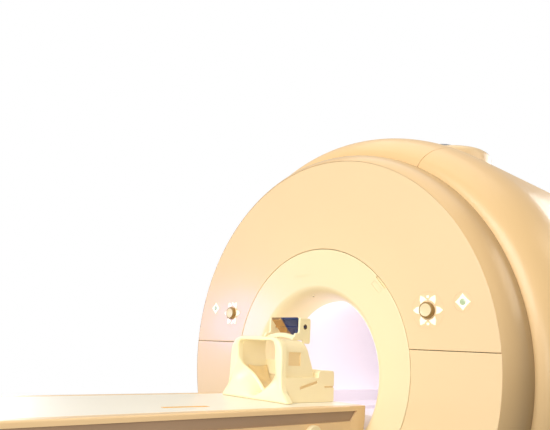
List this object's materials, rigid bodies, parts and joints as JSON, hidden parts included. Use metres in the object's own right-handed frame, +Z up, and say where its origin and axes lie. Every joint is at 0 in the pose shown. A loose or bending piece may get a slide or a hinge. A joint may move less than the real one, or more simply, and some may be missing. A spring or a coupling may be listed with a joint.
{
  "type": "mri scanner",
  "caption": "Magnetic resonance scanner: round cream gantry with a flared bore, key panels on its face, and a lifting table with a sliding top and a head coil.",
  "frame": {"origin": "on the floor, straight below the middle of the bore, at the centre of the magnet's floor anchors", "axes": "+X to the right when facing the front, +Y into the bore from the front face, +Z up"},
  "size_m": [1.9996, 3.92, 2.27],
  "materials": {
    "cover": "satin cream moulded covers",
    "mouth": "satin cream",
    "bore": "smooth translucent white",
    "bridge": "smooth pale grey",
    "plinth": "matt grey",
    "stainless": "brushed",
    "windings": "dull",
    "epoxy": "cast resin",
    "copper": "copper strips on resin tube",
    "base_steel": "grey powder coat",
    "frame_alu": "mill finish",
    "knob": "satin",
    "key": "backlit white",
    "column": "satin powder coat",
    "beam": "anodised",
    "rail": "satin beige",
    "deck": "smooth cream",
    "rubber_belt": "toothed belt, plain in the model",
    "dark_steel": "black",
    "pulley_alu": "anodised",
    "coil": "satin cream",
    "coil_front": "bright cream",
    "pad": "foam pad in a grey-blue cover",
    "mirror_arm": "white",
    "mirror": "silvered glass"
  },
  "bodies": {
    "gantry": {"magnet_vessel": "stainless", "cold_mass": "windings", "gradient_coil": "epoxy", "body_coil": "copper", "bore_liner": "bore", "bore_bridge": "bridge", "front_ring": "mouth", "front_upper": "cover", "front_lower": "cover", "front_rim": "cover", "barrel_left": "cover", "barrel_right": "cover", "barrel_top": "cover", "rear_ring": "mouth", "rear_cover": "cover", "plinth": "plinth", "magnet_base": "base_steel", "turret": "stainless", "turret_hood": "cover", "cover_frame": "frame_alu", "carrier_left": "cover", "carrier_right": "cover", "table_base": "base_steel", "column_fixed": "column", "lift_spindle": "stainless"},
    "stage": {"column_stage": "column"},
    "table": {"column_inner": "column", "table_beam": "beam", "side_left": "rail", "side_right": "rail", "end_block": "rail", "tail_block": "rail", "belt": "rubber_belt", "motor": "dark_steel"},
    "top": {"tabletop": "deck", "coil_base": "coil", "coil_shell": "coil", "coil_arch": "coil_front", "coil_cushion": "pad", "mirror_frame": "mirror_arm"},
    "mirror": {"mirror_glass": "mirror"},
    "drive": {"drive_pulley": "pulley_alu"},
    "idler": {"idler_pulley": "pulley_alu"},
    "release": {"release_knob": "knob"},
    "turn_left": {"knob_left": "knob"},
    "stopkey_left": {"stop_left": "key"},
    "petal_left_1": {"key_left_1": "key"},
    "petal_left_2": {"key_left_2": "key"},
    "petal_left_3": {"key_left_3": "key"},
    "petal_left_4": {"key_left_4": "key"},
    "petal_left_5": {"key_left_5": "key"},
    "petal_left_6": {"key_left_6": "key"},
    "turn_right": {"knob_right": "knob"},
    "stopkey_right": {"stop_right": "key"},
    "petal_right_1": {"key_right_1": "key"},
    "petal_right_2": {"key_right_2": "key"},
    "petal_right_3": {"key_right_3": "key"},
    "petal_right_4": {"key_right_4": "key"},
    "petal_right_5": {"key_right_5": "key"},
    "petal_right_6": {"key_right_6": "key"}
  },
  "joints": [
    {"name": "table_lift", "type": "slide", "parent": "gantry", "child": "table", "axis": [0, 0, 1], "range_m": [-0.35, 0]},
    {"name": "stage_lift", "type": "slide", "parent": "gantry", "child": "stage", "axis": [0, 0, 1], "range_m": [-0.175, 0]},
    {"name": "tabletop_slide", "type": "slide", "parent": "table", "child": "top", "axis": [0, 1, 0], "range_m": [0, 1.6]},
    {"name": "mirror_tilt", "type": "hinge", "parent": "top", "child": "mirror", "pos_m": [0, -0.937, 1.1723], "axis": [1, 0, 0], "range_deg": [-15, 15]},
    {"name": "drive_turn", "type": "hinge", "parent": "table", "child": "drive", "pos_m": [0.12, -2.994, 0.82], "axis": [1, 0, 0], "range_deg": [-3140, 0]},
    {"name": "idler_turn", "type": "hinge", "parent": "table", "child": "idler", "pos_m": [0.12, -0.964, 0.82], "axis": [1, 0, 0], "range_deg": [-3140, 0]},
    {"name": "release_turn", "type": "hinge", "parent": "table", "child": "release", "pos_m": [0.29, -1.091, 0.805], "axis": [1, 0, 0], "range_deg": [0, 90]},
    {"name": "knob_left_turn", "type": "hinge", "parent": "gantry", "child": "turn_left", "pos_m": [-0.55358, -0.8, 1.242], "axis": [0, 1, 0], "range_deg": [-30, 30], "stiffness_Nm_per_rad": 0.3},
    {"name": "stop_left_press", "type": "slide", "parent": "gantry", "child": "stopkey_left", "axis": [0, 1, 0], "range_m": [0, 0.0015], "stiffness_N_per_m": 400, "springref_m": -0.003},
    {"name": "petal_left_1_press", "type": "slide", "parent": "gantry", "child": "petal_left_1", "axis": [0, 1, 0], "range_m": [0, 0.0015], "stiffness_N_per_m": 400, "springref_m": -0.003},
    {"name": "petal_left_2_press", "type": "slide", "parent": "gantry", "child": "petal_left_2", "axis": [0, 1, 0], "range_m": [0, 0.0015], "stiffness_N_per_m": 400, "springref_m": -0.003},
    {"name": "petal_left_3_press", "type": "slide", "parent": "gantry", "child": "petal_left_3", "axis": [0, 1, 0], "range_m": [0, 0.0015], "stiffness_N_per_m": 400, "springref_m": -0.003},
    {"name": "petal_left_4_press", "type": "slide", "parent": "gantry", "child": "petal_left_4", "axis": [0, 1, 0], "range_m": [0, 0.0015], "stiffness_N_per_m": 400, "springref_m": -0.003},
    {"name": "petal_left_5_press", "type": "slide", "parent": "gantry", "child": "petal_left_5", "axis": [0, 1, 0], "range_m": [0, 0.0015], "stiffness_N_per_m": 400, "springref_m": -0.003},
    {"name": "petal_left_6_press", "type": "slide", "parent": "gantry", "child": "petal_left_6", "axis": [0, 1, 0], "range_m": [0, 0.0015], "stiffness_N_per_m": 400, "springref_m": -0.003},
    {"name": "knob_right_turn", "type": "hinge", "parent": "gantry", "child": "turn_right", "pos_m": [0.55358, -0.8, 1.242], "axis": [0, 1, 0], "range_deg": [-30, 30], "stiffness_Nm_per_rad": 0.3},
    {"name": "stop_right_press", "type": "slide", "parent": "gantry", "child": "stopkey_right", "axis": [0, 1, 0], "range_m": [0, 0.0015], "stiffness_N_per_m": 400, "springref_m": -0.003},
    {"name": "petal_right_1_press", "type": "slide", "parent": "gantry", "child": "petal_right_1", "axis": [0, 1, 0], "range_m": [0, 0.0015], "stiffness_N_per_m": 400, "springref_m": -0.003},
    {"name": "petal_right_2_press", "type": "slide", "parent": "gantry", "child": "petal_right_2", "axis": [0, 1, 0], "range_m": [0, 0.0015], "stiffness_N_per_m": 400, "springref_m": -0.003},
    {"name": "petal_right_3_press", "type": "slide", "parent": "gantry", "child": "petal_right_3", "axis": [0, 1, 0], "range_m": [0, 0.0015], "stiffness_N_per_m": 400, "springref_m": -0.003},
    {"name": "petal_right_4_press", "type": "slide", "parent": "gantry", "child": "petal_right_4", "axis": [0, 1, 0], "range_m": [0, 0.0015], "stiffness_N_per_m": 400, "springref_m": -0.003},
    {"name": "petal_right_5_press", "type": "slide", "parent": "gantry", "child": "petal_right_5", "axis": [0, 1, 0], "range_m": [0, 0.0015], "stiffness_N_per_m": 400, "springref_m": -0.003},
    {"name": "petal_right_6_press", "type": "slide", "parent": "gantry", "child": "petal_right_6", "axis": [0, 1, 0], "range_m": [0, 0.0015], "stiffness_N_per_m": 400, "springref_m": -0.003}
  ],
  "couplings": [
    {"joint": "stage_lift", "follows": "table_lift", "ratio": 0.5},
    {"joint": "drive_turn", "follows": "tabletop_slide", "rad_per_m": -34.13},
    {"joint": "idler_turn", "follows": "tabletop_slide", "rad_per_m": -34.13}
  ]
}
